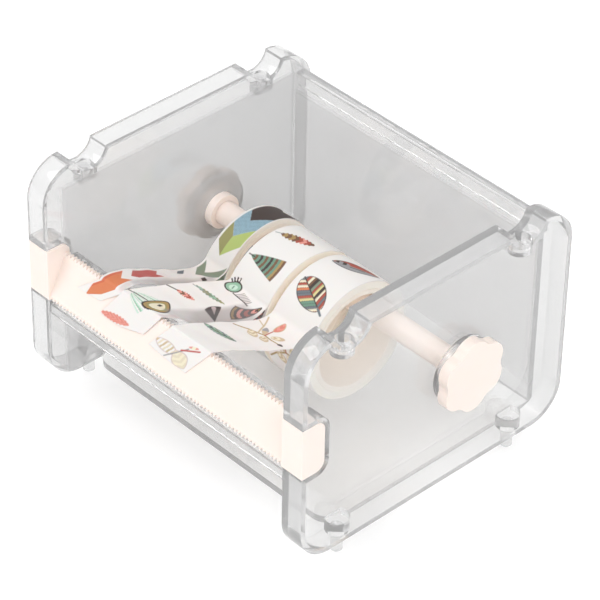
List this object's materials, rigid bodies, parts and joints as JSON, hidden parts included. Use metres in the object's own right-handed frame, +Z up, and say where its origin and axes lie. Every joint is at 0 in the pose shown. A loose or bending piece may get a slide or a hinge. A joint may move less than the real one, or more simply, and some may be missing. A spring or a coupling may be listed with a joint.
{
  "type": "tape dispenser",
  "caption": "Clear stackable desktop tape dispenser: open box, cream rod with scalloped knobs, printed paper tape rolls, and a cream strip with toothed edges in front.",
  "frame": {"origin": "middle of the box at the height of the feet's ends", "axes": "+X along the cutter strip towards the knob that pulls out with the rod, +Y from the cutter strip to the back, +Z up"},
  "size_m": [0.112, 0.1, 0.078],
  "materials": {
    "clear_plastic": "clear, polished",
    "cream_plastic": "satin cream",
    "core_card": "pale card",
    "left_print": "white with printed chevrons",
    "middle_print": "white with printed feathers",
    "right_print": "white with printed leaves"
  },
  "bodies": {
    "frame": {"left_side_panel": "clear_plastic", "right_side_panel": "clear_plastic", "base_panel": "clear_plastic", "back_panel": "clear_plastic", "front_rail": "clear_plastic", "cutter_strip": "cream_plastic", "left_tail": "left_print", "middle_tail": "middle_print", "right_tail": "right_print"},
    "left_knob": {"left_knob": "cream_plastic"},
    "roller": {"roller_rod": "cream_plastic", "right_knob": "cream_plastic"},
    "left_roll": {"left_core": "core_card", "left_winding": "left_print"},
    "middle_roll": {"middle_core": "core_card", "middle_winding": "middle_print"},
    "right_roll": {"right_core": "core_card", "right_winding": "right_print"}
  },
  "joints": [
    {"name": "knob_spin", "type": "hinge", "parent": "frame", "child": "left_knob", "pos_m": [0, 0.0143, 0.03686], "axis": [1, 0, 0], "continuous": true},
    {"name": "rod_pull", "type": "slide", "parent": "left_knob", "child": "roller", "axis": [1, 0, 0], "range_m": [0, 0.112]},
    {"name": "left_roll_spin", "type": "hinge", "parent": "frame", "child": "left_roll", "pos_m": [0, 0.01284, 0.02646], "axis": [1, 0, 0], "continuous": true},
    {"name": "middle_roll_spin", "type": "hinge", "parent": "frame", "child": "middle_roll", "pos_m": [0, 0.00437, 0.03344], "axis": [1, 0, 0], "continuous": true},
    {"name": "right_roll_spin", "type": "hinge", "parent": "frame", "child": "right_roll", "pos_m": [0, 0.00443, 0.03327], "axis": [1, 0, 0], "continuous": true}
  ]
}
